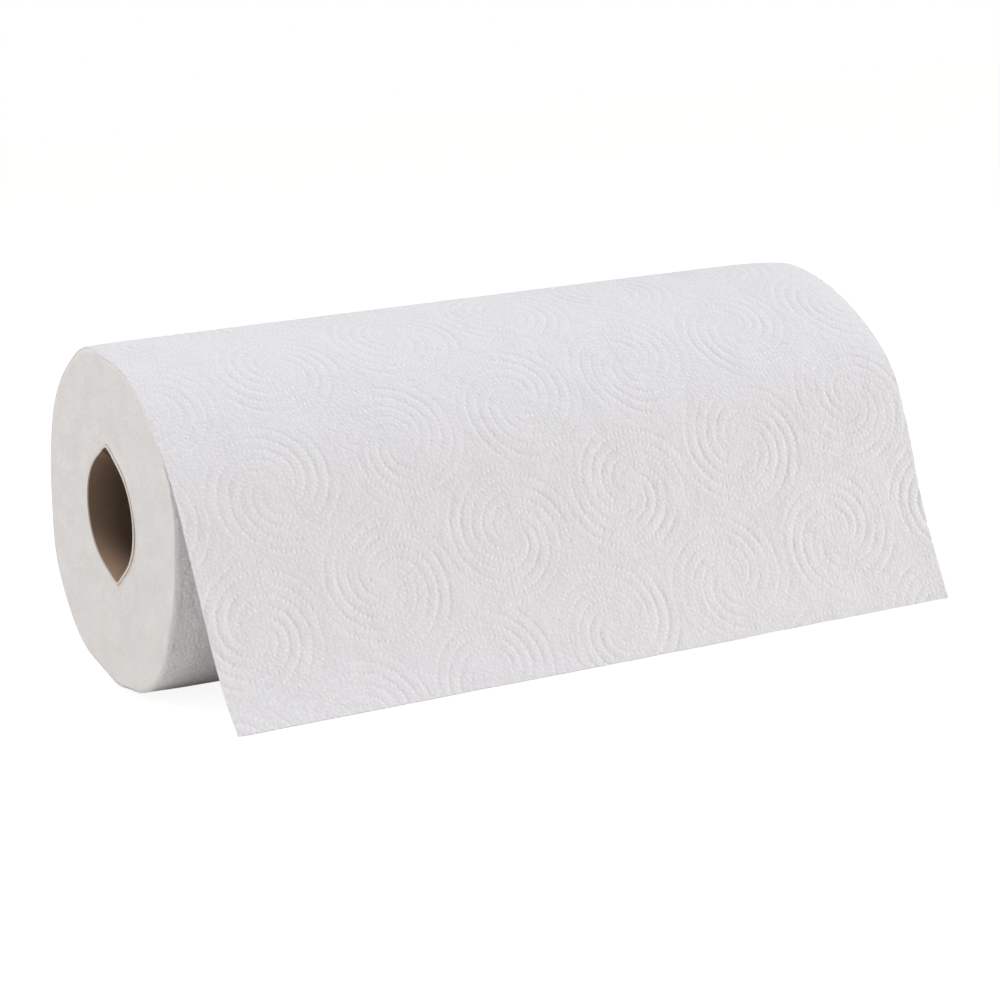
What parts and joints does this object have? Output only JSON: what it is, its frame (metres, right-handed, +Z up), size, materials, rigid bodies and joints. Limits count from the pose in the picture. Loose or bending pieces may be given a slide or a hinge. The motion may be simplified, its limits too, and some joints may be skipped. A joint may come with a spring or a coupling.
{
  "type": "paper towel roll",
  "caption": "Roll of white embossed kitchen towel on a card core, lying on its side with the loose end of the web hanging in front.",
  "frame": {"origin": "on the table under the core's axis, at the middle of the roll's length", "axes": "+X along the core, +Y away from the loose end of the web, +Z up"},
  "size_m": [0.2794, 0.1499, 0.1197],
  "materials": {
    "towel_paper": "matt, embossed tissue",
    "core_card": "matt, spiral-wound grey-brown card"
  },
  "bodies": {
    "root": {"paper": "towel_paper", "core": "core_card"}
  },
  "joints": []
}
